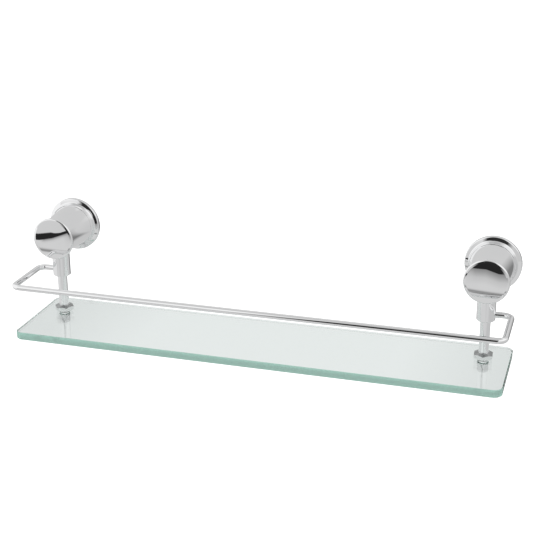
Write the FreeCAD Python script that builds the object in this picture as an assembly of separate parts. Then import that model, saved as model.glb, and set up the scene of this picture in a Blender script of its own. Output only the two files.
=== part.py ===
import FreeCAD, Part
import math
import os

# Glass shower shelf with a gallery rail, hung under two round wall posts.
# Millimetres. X runs along the wall, Y runs into the wall, Z points up.
# The origin lies on the wall, midway between the posts, at the height of their axes.

# Shelf as a whole
post_spacing = 448.0
glass_overhang = 26.0
glass_depth = 104.0
glass_thickness = 8.0
glass_corner_radius = 9.0
glass_arris = 0.7
glass_wall_gap = 3.0

# Fits
slide_gap = 0.15
thread_gap = 0.05

# Grub screws that clamp the rosettes and the rail
grub_diameter = 3.0
grub_tip_diameter = 1.0
grub_key_depth = 1.4
grub_core = 0.5
grub_inset = 0.4
grub_cover = 0.6

# Wall plate
plate_screw_spacing = 26.0
plate_screw_hole = 5.2
plate_head_lip = 2.2
plate_head_room = 4.0
plate_web = 3.0
plate_eye_wall = 2.2
plate_edge_wall = 1.6

# Rosette
rosette_wall = 2.3
rosette_floor = 3.8
rosette_rim_round = 1.1
rosette_ledge = 2.4
rosette_ledge_slope = 12.0
rosette_cove = 1.4
rosette_lip = 0.3

# Neck and front cap
neck_length = 41.7
neck_outset = 1.45
neck_shoulder = 6.5
neck_spigot_wall = 2.5
neck_taper = 3.5
neck_waist = 0.8
cap_overhang = 3.2
cap_rim_thickness = 4.0
cap_edge_round = 1.6
cap_bevel_width = 1.0
cap_bevel_rise = 0.2
cap_crown = 0.9
cap_spigot_wall = 4.5
cap_spigot_clearance = 1.75

# Collar under the neck, and the screw that holds it
collar_margin = 3.3
collar_core = 4.0
collar_chamfer = 0.9
collar_screw_diameter = 5.0
collar_screw_reach = 7.0
collar_screw_head_lip = 1.75
collar_screw_head_height = 5.0
collar_screw_key = 4.0
collar_screw_spot_face = 0.6

# Hanger rod, with a threaded spigot at the top and a threaded stud at the bottom
stud_diameter = 6.0
rod_shoulder = 2.0
rod_length = 41.4
rod_chamfer = 0.4
rod_spigot_length = 11.0

# Gallery rail
rail_diameter = 6.0
rail_stub = 8.2
rail_bend_radius = 7.5
rail_setback = 4.0
rail_end_wall = 1.2

# Nuts, washers and sleeves that clamp the glass
nut_wall = 4.0
nut_height = 7.8
nut_end_inset = 2.8
nut_chamfer_angle = 30.0
left_nut_turn = 7.0
right_nut_turn = 34.0
washer_thickness = 0.6
upper_washer_inset = 3.0
lower_washer_lip = 0.5
sleeve_wall = 1.1
cap_nut_wall = 2.3
cap_nut_thread = 7.6
cap_nut_floor = 1.5
cap_nut_round = 1.2

# Widths of the post, from the wall plate outwards and then from the rosette inwards
grub_cone = (grub_diameter - grub_tip_diameter) / 2
groove_depth = grub_diameter / 2
groove_y = -(grub_diameter / 2 + grub_cover)
plate_head_recess = plate_screw_hole + 2 * plate_head_lip
plate_eye = plate_screw_spacing - plate_head_recess - 2 * plate_eye_wall
plate_diameter = plate_screw_spacing + plate_head_recess + 2 * (plate_edge_wall + groove_depth)
plate_thickness = plate_web + plate_head_room
plate_recess = plate_diameter + 2 * slide_gap
cove_diameter = plate_recess + 2 * (rosette_wall + rosette_cove)
rosette_diameter = cove_diameter + 2 * (rosette_ledge + rosette_rim_round)
neck_rear_diameter = plate_recess + 2 * neck_outset
lip_diameter = neck_rear_diameter + 2 * rosette_lip
neck_front_diameter = neck_rear_diameter - 2 * neck_taper
neck_spigot_diameter = neck_rear_diameter - 2 * neck_shoulder
neck_bore = neck_spigot_diameter - 2 * neck_spigot_wall
cap_diameter = neck_front_diameter + 2 * cap_overhang

# Widths of the hanger, from the stud outwards
rod_diameter = stud_diameter + 2 * rod_shoulder
collar_diameter = rod_diameter + 2 * (grub_diameter + 2 * grub_cover)
nut_across_flats = rod_diameter + 2 * nut_wall
stud_clearance = stud_diameter + 2 * slide_gap
sleeve_diameter = stud_clearance + 2 * sleeve_wall
glass_hole = sleeve_diameter + 2 * slide_gap
cap_nut_diameter = stud_diameter + 2 * cap_nut_wall
upper_washer_diameter = nut_across_flats - 2 * upper_washer_inset
lower_washer_diameter = cap_nut_diameter + 2 * lower_washer_lip
screw_head_diameter = collar_screw_diameter + 2 * collar_screw_head_lip

# Places along the post, from the wall to the front
post_x = post_spacing / 2
rim_front = 2 * groove_y
rosette_front = -(plate_thickness + rosette_floor)
neck_front = rosette_front - neck_length
hang_y = neck_front + collar_diameter / 2 + collar_margin
cap_spigot_back = hang_y - screw_head_diameter / 2 - cap_spigot_clearance

# Places down the hanger, from the neck to the cap nut
screw_seat = -(neck_bore / 2 + collar_screw_spot_face)
screw_tip = -(neck_rear_diameter / 2 + collar_screw_reach)
rod_top = screw_tip - collar_core
collar_bottom = rod_top - rod_spigot_length
rail_underside = collar_bottom + grub_inset + grub_key_depth + grub_core + grub_cone
rail_z = rail_underside + rail_diameter / 2
rod_foot = collar_bottom - rod_length
glass_top = rod_foot - washer_thickness
glass_bottom = glass_top - glass_thickness
cap_nut_top = glass_bottom - washer_thickness
stud_end = cap_nut_top - cap_nut_thread
cap_nut_bottom = stud_end - cap_nut_floor

# Places along the glass and the rail
glass_length = post_spacing + 2 * glass_overhang
glass_back = -glass_wall_gap
glass_front = glass_back - glass_depth
rail_front = glass_front + rail_setback
rail_arm_x = post_x + collar_diameter / 2 + rail_stub + rail_bend_radius
rail_end_x = post_x + stud_diameter / 2 + rail_end_wall
rail_grub_x = post_x + (rod_diameter + collar_diameter) / 4

# How far the middle of a quarter arc lies inside its corner, for a radius of one
corner_cut = 1 - math.sqrt(0.5)
sides = (("left", -1), ("right", 1))

up = FreeCAD.Vector(0, 0, 1)
to_front = FreeCAD.Vector(0, -1, 0)


def point(x, y, z):
    return FreeCAD.Vector(x, y, z)


def line(start, end):
    return Part.LineSegment(start, end).toShape()


def arc(start, middle, end):
    return Part.Arc(start, middle, end).toShape()


def circle_arc(circle, start, end):
    """The shorter part of a circle between two of its points."""
    first = circle.parameter(start)
    last = circle.parameter(end)
    if (last - first) % (2 * math.pi) > math.pi:
        first, last = last, first
    return Part.ArcOfCircle(circle, first, last).toShape()


def turned(edges, axis_point, axis):
    """Solid of revolution from a closed half profile."""
    face = Part.Face(Part.Wire(Part.__sortEdges__(edges)))
    return face.revolve(axis_point, axis, 360)


def turned_polygon(corners, axis_point, axis):
    """Solid of revolution from the corners of a half profile."""
    return Part.Face(Part.makePolygon(corners + corners[:1])).revolve(axis_point, axis, 360)


def upright(diameter, x, y, low, high):
    """Round bar standing along Z."""
    return Part.makeCylinder(diameter / 2, high - low, point(x, y, low), up)


def hexagon_bar(across_flats, x, y, low, high, turn):
    """Six-sided bar standing along Z, with one corner turned from +X."""
    radius = across_flats / math.sqrt(3)
    corners = []
    for step in range(7):
        angle = math.radians(turn + 60 * step)
        corners.append(point(x + radius * math.cos(angle), y + radius * math.sin(angle), low))
    return Part.Face(Part.makePolygon(corners)).extrude(up * (high - low))


def bottom_edges(shape, low):
    """Edges of a shape that lie wholly in the plane at the given height."""
    return [e for e in shape.Edges if abs(e.BoundBox.ZMin - low) < 1e-4 and abs(e.BoundBox.ZMax - low) < 1e-4]


# Half profiles of the post are drawn in the plane x = post, as radius along Z and depth along -Y.
def post_point(x, radius, y):
    return point(x, y, radius)


def wall_plate(x):
    """Disc screwed to the wall, with a groove round its rim for the grub screw."""
    radius = plate_diameter / 2
    profile = [
        post_point(x, plate_eye / 2, 0),
        post_point(x, radius, 0),
        post_point(x, radius, groove_y + groove_depth),
        post_point(x, radius - groove_depth, groove_y),
        post_point(x, radius, groove_y - groove_depth),
        post_point(x, radius, -plate_thickness),
        post_point(x, plate_eye / 2, -plate_thickness),
    ]
    plate = turned_polygon(profile, point(x, 0, 0), to_front)
    for side in (-1, 1):
        hole_at = point(x, 0, side * plate_screw_spacing / 2)
        hole = Part.makeCylinder(plate_screw_hole / 2, plate_thickness, hole_at, to_front)
        recess_at = hole_at + to_front * plate_web
        recess = Part.makeCylinder(plate_head_recess / 2, plate_head_room, recess_at, to_front)
        plate = plate.cut(hole).cut(recess)
    return plate


def rosette(x):
    """Turned wall flange: rim, sloping ledge, cove and flare, hollow at the back for the wall plate."""
    rim = rosette_diameter / 2
    ledge = cove_diameter / 2
    lip = lip_diameter / 2
    recess = plate_recess / 2
    spigot = neck_spigot_diameter / 2 + thread_gap
    # The rim's round ends in the slope of the ledge.
    slope = math.radians(rosette_ledge_slope)
    round_radius = rim - rosette_rim_round
    round_y = rim_front + rosette_rim_round
    half_round = (math.pi / 2 - slope) / 2
    top_radius = round_radius + rosette_rim_round * math.sin(slope)
    top_y = round_y - rosette_rim_round * math.cos(slope)
    ledge_y = top_y - (top_radius - ledge) * math.tan(slope)
    # The cove is a circle that touches the ledge, and the flare is its tangent from the lip.
    hub = ledge + rosette_cove * math.sin(slope)
    hub_y = ledge_y - rosette_cove * math.cos(slope)
    to_hub = math.hypot(hub - lip, hub_y - rosette_front)
    lean = math.atan2(hub - lip, hub_y - rosette_front) - math.asin(rosette_cove / to_hub)
    halfway = (slope + math.pi / 2 - lean) / 2
    corners = {
        "recess_wall": post_point(x, recess, 0),
        "rim_wall": post_point(x, rim, 0),
        "rim_round": post_point(x, rim, round_y),
        "rim_top": post_point(x, top_radius, top_y),
        "ledge": post_point(x, ledge, ledge_y),
        "flare": post_point(x, hub - rosette_cove * math.cos(lean), hub_y + rosette_cove * math.sin(lean)),
        "lip": post_point(x, lip, rosette_front),
        "spigot_front": post_point(x, spigot, rosette_front),
        "spigot_back": post_point(x, spigot, -plate_thickness),
        "recess_floor": post_point(x, recess, -plate_thickness),
    }
    rim_mid = post_point(
        x, round_radius + rosette_rim_round * math.cos(half_round),
        round_y - rosette_rim_round * math.sin(half_round))
    cove_mid = post_point(
        x, hub - rosette_cove * math.sin(halfway), hub_y + rosette_cove * math.cos(halfway))
    edges = [
        line(corners["recess_wall"], corners["rim_wall"]),
        line(corners["rim_wall"], corners["rim_round"]),
        arc(corners["rim_round"], rim_mid, corners["rim_top"]),
        line(corners["rim_top"], corners["ledge"]),
        arc(corners["ledge"], cove_mid, corners["flare"]),
        line(corners["flare"], corners["lip"]),
        line(corners["lip"], corners["spigot_front"]),
        line(corners["spigot_front"], corners["spigot_back"]),
        line(corners["spigot_back"], corners["recess_floor"]),
        line(corners["recess_floor"], corners["recess_wall"]),
    ]
    body = turned(edges, point(x, 0, 0), to_front)
    tapped = upright(grub_diameter + 2 * thread_gap, x, groove_y, -rosette_diameter, 0)
    inside = Part.makeCylinder(recess, plate_thickness, point(x, 0, 0), to_front)
    return body.cut(tapped.cut(inside))


def neck_outline(x, inner):
    """Edges of the neck's half profile, from an inner radius out to its waisted side."""
    rear = neck_rear_diameter / 2
    front = neck_front_diameter / 2
    middle = post_point(x, (rear + front) / 2 - neck_waist, (rosette_front + neck_front) / 2)
    rear_inner = post_point(x, inner, rosette_front)
    rear_outer = post_point(x, rear, rosette_front)
    front_outer = post_point(x, front, neck_front)
    front_inner = post_point(x, inner, neck_front)
    return [
        line(rear_inner, rear_outer),
        arc(rear_outer, middle, front_outer),
        line(front_outer, front_inner),
        line(front_inner, rear_inner),
    ]


def neck_envelope(x):
    """The neck without its bore, which shapes the saddle of the collar."""
    return turned(neck_outline(x, 0), point(x, 0, 0), to_front)


def neck(x):
    """Waisted tube, screwed into the rosette, with a seat inside for the collar screw."""
    tube = turned(neck_outline(x, neck_bore / 2), point(x, 0, 0), to_front)
    spigot_length = -rosette_front - plate_thickness
    spigot_at = point(x, -plate_thickness, 0)
    spigot = Part.makeCylinder(neck_spigot_diameter / 2, spigot_length, spigot_at, to_front)
    spigot = spigot.cut(Part.makeCylinder(neck_bore / 2, spigot_length, spigot_at, to_front))
    spot = upright(screw_head_diameter + 2 * slide_gap, x, hang_y, screw_seat, 0)
    hole = upright(collar_screw_diameter + 2 * slide_gap, x, hang_y, -neck_rear_diameter, 0)
    return tube.fuse(spigot).removeSplitter().cut(spot).cut(hole)


def front_cap(x):
    """Domed disc with a bevelled rim, screwed into the front of the neck by a hollow spigot."""
    rim = cap_diameter / 2
    back = neck_front
    front = neck_front - cap_rim_thickness
    bevel_r = rim - cap_edge_round - cap_bevel_width
    bevel_y = front - cap_bevel_rise
    spigot = neck_bore / 2 - thread_gap
    bore = neck_bore / 2 - cap_spigot_wall
    round_in = cap_edge_round * corner_cut
    centre_y = bevel_y - cap_crown
    crown_radius = (bevel_r ** 2 + cap_crown ** 2) / (2 * cap_crown)
    crown = Part.Circle(point(x, centre_y + crown_radius, 0), point(-1, 0, 0), crown_radius)
    back_ring = post_point(x, rim, back - cap_edge_round)
    back_flat = post_point(x, rim - cap_edge_round, back)
    front_ring = post_point(x, rim, front + cap_edge_round)
    front_flat = post_point(x, rim - cap_edge_round, front)
    bevel = post_point(x, bevel_r, bevel_y)
    edges = [
        line(post_point(x, bore, cap_spigot_back), post_point(x, spigot, cap_spigot_back)),
        line(post_point(x, spigot, cap_spigot_back), post_point(x, spigot, back)),
        line(post_point(x, spigot, back), back_flat),
        arc(back_flat, post_point(x, rim - round_in, back - round_in), back_ring),
        line(back_ring, front_ring),
        arc(front_ring, post_point(x, rim - round_in, front + round_in), front_flat),
        line(front_flat, bevel),
        circle_arc(crown, bevel, post_point(x, 0, centre_y)),
        line(post_point(x, 0, centre_y), post_point(x, 0, back)),
        line(post_point(x, 0, back), post_point(x, bore, back)),
        line(post_point(x, bore, back), post_point(x, bore, cap_spigot_back)),
    ]
    return turned(edges, point(x, 0, 0), to_front)


def collar(side):
    """Upright cylinder cut to a saddle under the neck, drilled for its screw, the rail and the rod."""
    x = side * post_x
    blank = upright(collar_diameter, x, hang_y, collar_bottom, 0)
    blank = blank.makeChamfer(collar_chamfer, bottom_edges(blank, collar_bottom))
    body = blank.cut(neck_envelope(x))
    screw_hole = upright(collar_screw_diameter + 2 * thread_gap, x, hang_y, screw_tip, 0)
    rod_hole = upright(stud_diameter + 2 * thread_gap, x, hang_y, collar_bottom, rod_top)
    rail_at = point(side * rail_end_x, hang_y, rail_z)
    rail_hole = Part.makeCylinder(rail_diameter / 2 + thread_gap, collar_diameter, rail_at, point(side, 0, 0))
    grub_hole = upright(grub_diameter + 2 * thread_gap, side * rail_grub_x, hang_y, collar_bottom, rail_z)
    return body.cut(screw_hole).cut(rod_hole).cut(rail_hole).cut(grub_hole)


def hanger_rod(x):
    """Turned rod: spigot up into the collar, plain shank, stud down through the glass."""
    r = rod_diameter / 2
    stud = stud_diameter / 2
    profile = [
        point(x, hang_y, rod_top),
        point(x + stud - rod_chamfer, hang_y, rod_top),
        point(x + stud, hang_y, rod_top - rod_chamfer),
        point(x + stud, hang_y, collar_bottom),
        point(x + r, hang_y, collar_bottom),
        point(x + r, hang_y, rod_foot),
        point(x + stud, hang_y, rod_foot),
        point(x + stud, hang_y, stud_end + rod_chamfer),
        point(x + stud - rod_chamfer, hang_y, stud_end),
        point(x, hang_y, stud_end),
    ]
    return turned_polygon(profile, point(x, hang_y, 0), up)


def hex_nut(x, turn):
    """Six-sided nut with both ends turned to a cone, standing on the upper washer."""
    top = rod_foot + nut_height
    corner = nut_across_flats / math.sqrt(3)
    end = nut_across_flats / 2 - nut_end_inset
    cone = (corner - end) * math.tan(math.radians(nut_chamfer_angle))
    body = hexagon_bar(nut_across_flats, x, hang_y, rod_foot, top, turn)
    limit = turned_polygon([
        point(x, hang_y, rod_foot),
        point(x + end, hang_y, rod_foot),
        point(x + corner, hang_y, rod_foot + cone),
        point(x + corner, hang_y, top - cone),
        point(x + end, hang_y, top),
        point(x, hang_y, top),
    ], point(x, hang_y, 0), up)
    bore = upright(rod_diameter + 2 * thread_gap, x, hang_y, rod_foot, top)
    return body.common(limit).cut(bore)


def ring(outer, inner, x, low, high):
    """Flat ring or tube standing along Z."""
    return upright(outer, x, hang_y, low, high).cut(upright(inner, x, hang_y, low, high))


def hole_sleeve(x):
    """Soft tube that lines the glass hole round the stud."""
    return ring(sleeve_diameter, stud_clearance, x, glass_bottom, glass_top)


def cap_nut(x):
    """Round blind nut under the glass, with a rounded lower edge."""
    body = upright(cap_nut_diameter, x, hang_y, cap_nut_bottom, cap_nut_top)
    body = body.makeFillet(cap_nut_round, bottom_edges(body, cap_nut_bottom))
    return body.cut(upright(stud_diameter + 2 * thread_gap, x, hang_y, stud_end, cap_nut_top))


def collar_screw(x):
    """Socket-head screw from the bore of the neck down into the collar."""
    head_top = screw_seat + collar_screw_head_height
    shank = upright(collar_screw_diameter, x, hang_y, screw_tip, screw_seat)
    head = upright(screw_head_diameter, x, hang_y, screw_seat, head_top)
    key_floor = screw_seat + collar_screw_head_height / 2
    key = hexagon_bar(collar_screw_key, x, hang_y, key_floor, head_top, 0)
    return shank.fuse(head).removeSplitter().cut(key)


def grub_screw(x, y, low, high):
    """Headless screw standing along Z, coned at the top, with a hexagon key hole below."""
    r = grub_diameter / 2
    body = turned_polygon([
        point(x, y, low),
        point(x + r, y, low),
        point(x + r, y, high - grub_cone),
        point(x + grub_tip_diameter / 2, y, high),
        point(x, y, high),
    ], point(x, y, 0), up)
    return body.cut(hexagon_bar(grub_diameter / 2, x, y, low, low + grub_key_depth, 0))


def plate_grub_screw(x):
    """Grub screw in the underside of the rosette, its tip in the groove of the wall plate."""
    low = -rosette_diameter / 2 + grub_inset
    tip = -(plate_diameter / 2 - groove_depth + grub_tip_diameter / 2)
    return grub_screw(x, groove_y, low, tip)


def rail_grub_screw(side):
    """Grub screw in the underside of the collar, its tip on the end of the rail."""
    low = collar_bottom + grub_inset
    return grub_screw(side * rail_grub_x, hang_y, low, rail_underside)


def glass_shelf():
    """Rounded plate with ground arrises and two drilled holes."""
    half = glass_length / 2
    r = glass_corner_radius
    bend = r * corner_cut
    low = glass_bottom
    edges = []
    corners = ((1, 1), (-1, 1), (-1, -1), (1, -1))
    middle_y = (glass_back + glass_front) / 2
    depth = glass_depth / 2
    for sx, sy in corners:
        start = point(sx * half, middle_y + sy * (depth - r), low)
        bent = point(sx * (half - bend), middle_y + sy * (depth - bend), low)
        end = point(sx * (half - r), middle_y + sy * depth, low)
        edges.append(arc(start, bent, end))
    for sy in (-1, 1):
        y = middle_y + sy * depth
        edges.append(line(point(r - half, y, low), point(half - r, y, low)))
    for sx in (-1, 1):
        run = depth - r
        edges.append(line(point(sx * half, middle_y - run, low), point(sx * half, middle_y + run, low)))
    face = Part.Face(Part.Wire(Part.__sortEdges__(edges)))
    plate = face.extrude(up * glass_thickness)
    rims = bottom_edges(plate, glass_bottom) + bottom_edges(plate, glass_top)
    plate = plate.makeChamfer(glass_arris, rims)
    for _, side in sides:
        plate = plate.cut(upright(glass_hole, side * post_x, hang_y, glass_bottom, glass_top))
    return plate


def gallery_rail():
    """One rod bent four times: out from a collar, forward, along the front and back again."""
    r = rail_bend_radius
    bend = r * corner_cut
    edges = []
    for _, side in sides:
        arm = side * rail_arm_x
        end = point(side * rail_end_x, hang_y, rail_z)
        out = point(arm - side * r, hang_y, rail_z)
        rear_mid = point(arm - side * bend, hang_y - bend, rail_z)
        rear = point(arm, hang_y - r, rail_z)
        fore = point(arm, rail_front + r, rail_z)
        fore_mid = point(arm - side * bend, rail_front + bend, rail_z)
        along = point(arm - side * r, rail_front, rail_z)
        edges.append(line(end, out))
        edges.append(arc(out, rear_mid, rear))
        edges.append(line(rear, fore))
        edges.append(arc(fore, fore_mid, along))
    reach = rail_arm_x - r
    edges.append(line(point(-reach, rail_front, rail_z), point(reach, rail_front, rail_z)))
    path = Part.Wire(Part.__sortEdges__(edges))
    start = path.OrderedVertexes[0].Point
    section = Part.Wire(Part.makeCircle(rail_diameter / 2, start, point(1, 0, 0)))
    return path.makePipeShell([section], True, False)


def pair(make):
    """The same fastener on both sides, as two separate solids."""
    return Part.makeCompound([make(-post_x), make(post_x)])


nodes = {}
nodes["glass_shelf"] = glass_shelf()
nodes["gallery_rail"] = gallery_rail()
for name, side in sides:
    nodes[name + "_wall_plate"] = wall_plate(side * post_x)
    nodes[name + "_rosette"] = rosette(side * post_x)
    nodes[name + "_neck"] = neck(side * post_x)
    nodes[name + "_front_cap"] = front_cap(side * post_x)
    nodes[name + "_collar"] = collar(side)
    nodes[name + "_hanger_rod"] = hanger_rod(side * post_x)
nodes["plate_grub_screws"] = pair(plate_grub_screw)
nodes["collar_screws"] = pair(collar_screw)
nodes["rail_grub_screws"] = Part.makeCompound([rail_grub_screw(side) for _, side in sides])
nodes["hex_nuts"] = Part.makeCompound([hex_nut(-post_x, left_nut_turn), hex_nut(post_x, right_nut_turn)])
nodes["upper_washers"] = pair(
    lambda x: ring(upper_washer_diameter, stud_clearance, x, glass_top, rod_foot))
nodes["hole_sleeves"] = pair(hole_sleeve)
nodes["lower_washers"] = pair(
    lambda x: ring(lower_washer_diameter, stud_clearance, x, cap_nut_top, glass_bottom))
nodes["cap_nuts"] = pair(cap_nut)

os.makedirs("parts", exist_ok=True)
for name, shape in nodes.items():
    shape.exportStep("parts/" + name + ".step")
    print(name, len(shape.Solids), "solids", shape.isValid(), round(shape.Volume, 1), "mm3")
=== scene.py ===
import math

import bmesh
import bpy
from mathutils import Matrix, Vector


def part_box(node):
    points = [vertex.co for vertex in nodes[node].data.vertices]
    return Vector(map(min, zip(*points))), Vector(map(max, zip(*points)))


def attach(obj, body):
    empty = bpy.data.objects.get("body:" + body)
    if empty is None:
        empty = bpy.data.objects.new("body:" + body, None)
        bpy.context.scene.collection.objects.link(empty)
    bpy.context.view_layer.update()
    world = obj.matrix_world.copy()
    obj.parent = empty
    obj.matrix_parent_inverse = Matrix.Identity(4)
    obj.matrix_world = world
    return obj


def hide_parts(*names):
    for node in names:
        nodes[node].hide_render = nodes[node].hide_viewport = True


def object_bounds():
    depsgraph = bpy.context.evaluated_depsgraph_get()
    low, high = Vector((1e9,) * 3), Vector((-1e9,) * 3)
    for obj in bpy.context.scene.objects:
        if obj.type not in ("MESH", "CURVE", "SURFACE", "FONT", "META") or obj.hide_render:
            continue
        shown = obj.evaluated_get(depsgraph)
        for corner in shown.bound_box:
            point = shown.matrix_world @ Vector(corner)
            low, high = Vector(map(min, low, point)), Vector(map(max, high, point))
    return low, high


# Glass shower shelf with a gallery rail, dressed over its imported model.
# Metres, in the model's own frame: X along the wall, Y into the wall, Z up.
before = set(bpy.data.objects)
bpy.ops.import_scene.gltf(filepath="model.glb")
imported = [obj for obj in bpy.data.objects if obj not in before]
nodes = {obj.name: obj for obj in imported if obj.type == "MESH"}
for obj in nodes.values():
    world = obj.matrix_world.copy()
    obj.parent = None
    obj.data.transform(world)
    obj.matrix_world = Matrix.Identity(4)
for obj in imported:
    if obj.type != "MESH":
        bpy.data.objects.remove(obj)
cad_box = [list(corner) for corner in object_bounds()]


# Wall plates
# Two turned steel discs, each screwed flat to the wall and hidden inside a rosette.
# They are bare zinc-plated metal, so the rings of the lathe tool and a cloudy tone still show.
ring_pitch = 0.0005
ring_depth = 0.0001
ring_bump = 0.25
# A wave pattern of scale 1 repeats at this distance.
wave_period = math.pi / 10
cloud_size = 0.006
plate_tones = ((0.38, 0.39, 0.40), (0.60, 0.61, 0.60))
plate_roughness = (0.28, 0.45)


def new_finish(name):
    """A new node material, with its node tree and its main shader."""
    finish = bpy.data.materials.new(name)
    finish.use_nodes = True
    return finish, finish.node_tree, finish.node_tree.nodes["Principled BSDF"]


def place_node(tree, kind, inputs=None, **settings):
    """Adds a node to a tree, with its settings, and fills or links its inputs by name or place."""
    node = tree.nodes.new(kind)
    for setting, value in settings.items():
        setattr(node, setting, value)
    for socket, value in (inputs or {}).items():
        if isinstance(value, bpy.types.NodeSocket):
            tree.links.new(value, node.inputs[socket])
        else:
            node.inputs[socket].default_value = value
    return node


def between(tree, amount, low, high):
    """A value that runs from low to high as an amount runs from 0 to 1."""
    spread = place_node(tree, "ShaderNodeMapRange", {"Value": amount, "To Min": low, "To Max": high})
    return spread.outputs["Result"]


def two_tone(tree, amount, first, second):
    """A colour that runs from one tone to another as an amount runs from 0 to 1."""
    # A mix node has its two colours at inputs 6 and 7, and their mixture at output 2.
    tones = place_node(tree, "ShaderNodeMix", {0: amount, 6: (*first, 1), 7: (*second, 1)}, data_type="RGBA")
    return tones.outputs[2]


def mottled(tree, size, detail, **more):
    """A soft random pattern from 0 to 1, with spots of about the given size."""
    place = place_node(tree, "ShaderNodeTexCoord").outputs["Object"]
    inputs = {"Vector": place, "Scale": 1 / size, "Detail": detail, **more}
    return place_node(tree, "ShaderNodeTexNoise", inputs).outputs["Fac"]


def toned(tree, shader, pattern, tones, roughness):
    """Lets the colour and the roughness of a shader follow a pattern."""
    tree.links.new(two_tone(tree, pattern, *tones), shader.inputs["Base Color"])
    tree.links.new(between(tree, pattern, *roughness), shader.inputs["Roughness"])


def embossed(tree, shader, pattern, strength, depth):
    """Lets the surface of a shader rise and fall with a pattern."""
    bump = place_node(tree, "ShaderNodeBump", {"Height": pattern, "Strength": strength, "Distance": depth})
    tree.links.new(bump.outputs["Normal"], shader.inputs["Normal"])


def turned_steel(name, centre_x):
    """Dull plated steel with lathe rings about one post."""
    finish, tree, shader = new_finish(name)
    place = place_node(tree, "ShaderNodeTexCoord").outputs["Object"]
    centred = place_node(tree, "ShaderNodeMapping", {"Vector": place, "Location": (-centre_x, 0, 0)})
    rings = place_node(
        tree, "ShaderNodeTexWave",
        {"Vector": centred.outputs["Vector"], "Scale": wave_period / ring_pitch,
         "Distortion": 2.0, "Detail": 2.0},
        wave_type="RINGS", rings_direction="Y")
    toned(tree, shader, mottled(tree, cloud_size, detail=5.0), plate_tones, plate_roughness)
    embossed(tree, shader, rings.outputs["Fac"], ring_bump, ring_depth)
    shader.inputs["Metallic"].default_value = 1.0
    return finish


def middle_of(node):
    """The middle of a model node's box."""
    low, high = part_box(node)
    return (Vector(low) + Vector(high)) / 2


def refinish(node, finish):
    """Gives a model node a finish in place of all its materials."""
    materials = nodes[node].data.materials
    if len(materials) == 0:
        materials.append(finish)
    for place in range(len(materials)):
        materials[place] = finish


for side in ("left", "right"):
    refinish(side + "_wall_plate", turned_steel(side + "_turned_steel", middle_of(side + "_wall_plate").x))


# Rosettes
# The wall flanges, turned from brass with a rim, a sloping ledge, a cove and a flare, then chrome plated.
# Each slides over its wall plate and is clamped by a grub screw in a small hole under the rim.
rim_round = 0.0011
ledge_width = 0.0024
ledge_slope = math.radians(12)
rim_depth = 0.0042
cove_radius = 0.0014
rosette_wall = 0.0023
lip_radius = 0.0228
neck_thread_radius = 0.01605
plate_depth = 0.007
grub_hole_radius = 0.00155
turning_steps = 160
round_steps = 8
cove_steps = 18
sharp_angle = math.radians(28)
polish_size = 0.02
scuff_size = 0.0012
scuff_depth = 0.00002
scuff_bump = 0.03
chrome_tones = ((0.86, 0.865, 0.875), (0.92, 0.92, 0.92))
chrome_roughness = (0.005, 0.03)


def bright_chrome():
    """Polished chrome plate: nearly a mirror, with a faint bloom and fine polishing scuffs."""
    finish, tree, shader = new_finish("bright_chrome")
    toned(tree, shader, mottled(tree, polish_size, detail=4.0), chrome_tones, chrome_roughness)
    embossed(tree, shader, mottled(tree, scuff_size, detail=6.0, Roughness=0.6), scuff_bump, scuff_depth)
    shader.inputs["Metallic"].default_value = 1.0
    return finish


def rounded_rim(rim):
    """Points of the rim's round, from its side to where the ledge slopes on."""
    hub = Vector((rim - rim_round, rim_depth - rim_round))
    points = []
    for step in range(round_steps + 1):
        angle = (math.pi / 2 - ledge_slope) * step / round_steps
        points.append(tuple(hub + rim_round * Vector((math.cos(angle), math.sin(angle)))))
    return points


def cove_and_flare(ledge, depth, front):
    """Points of a cove that runs on from the sloping ledge and out in a straight flare to the lip."""
    hub = Vector((ledge, depth)) + cove_radius * Vector((math.sin(ledge_slope), math.cos(ledge_slope)))
    across = hub.x - lip_radius
    along = front - hub.y
    lean = math.atan2(across, along) - math.asin(cove_radius / math.hypot(across, along))
    points = []
    for step in range(cove_steps + 1):
        angle = ledge_slope + (math.pi / 2 - lean - ledge_slope) * step / cove_steps
        points.append(tuple(hub - cove_radius * Vector((math.sin(angle), math.cos(angle)))))
    points.append((lip_radius, front))
    return points


def finish_mesh(shape, name, finish):
    """A smooth mesh with crisp edges from a bmesh, its faces turned outwards."""
    bmesh.ops.recalc_face_normals(shape, faces=shape.faces[:])
    mesh = bpy.data.meshes.new(name)
    shape.to_mesh(mesh)
    shape.free()
    mesh.materials.append(finish)
    mesh.shade_smooth()
    mesh.set_sharp_from_angle(angle=sharp_angle)
    return mesh


def turned_mesh(name, outline, centre, along, finish):
    """Closed mesh of an outline of (radius, distance) points, turned about an axis through a centre."""
    side = along.orthogonal().normalized()
    across = along.cross(side)
    shape = bmesh.new()
    rings = []
    for radius, distance in outline:
        hub = centre + along * distance
        ring = [shape.verts.new(hub)] if radius == 0 else []
        for step in range(turning_steps if radius else 0):
            angle = 2 * math.pi * step / turning_steps
            ring.append(shape.verts.new(hub + (side * math.cos(angle) + across * math.sin(angle)) * radius))
        rings.append(ring)
    for first, last in zip(rings, rings[1:] + rings[:1]):
        for step in range(turning_steps):
            corners = []
            for ring, place in ((first, step), (first, step + 1), (last, step + 1), (last, step)):
                corner = ring[place % len(ring)]
                if corner not in corners:
                    corners.append(corner)
            if len(corners) > 2:
                shape.faces.new(corners)
    return finish_mesh(shape, name, finish)


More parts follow.
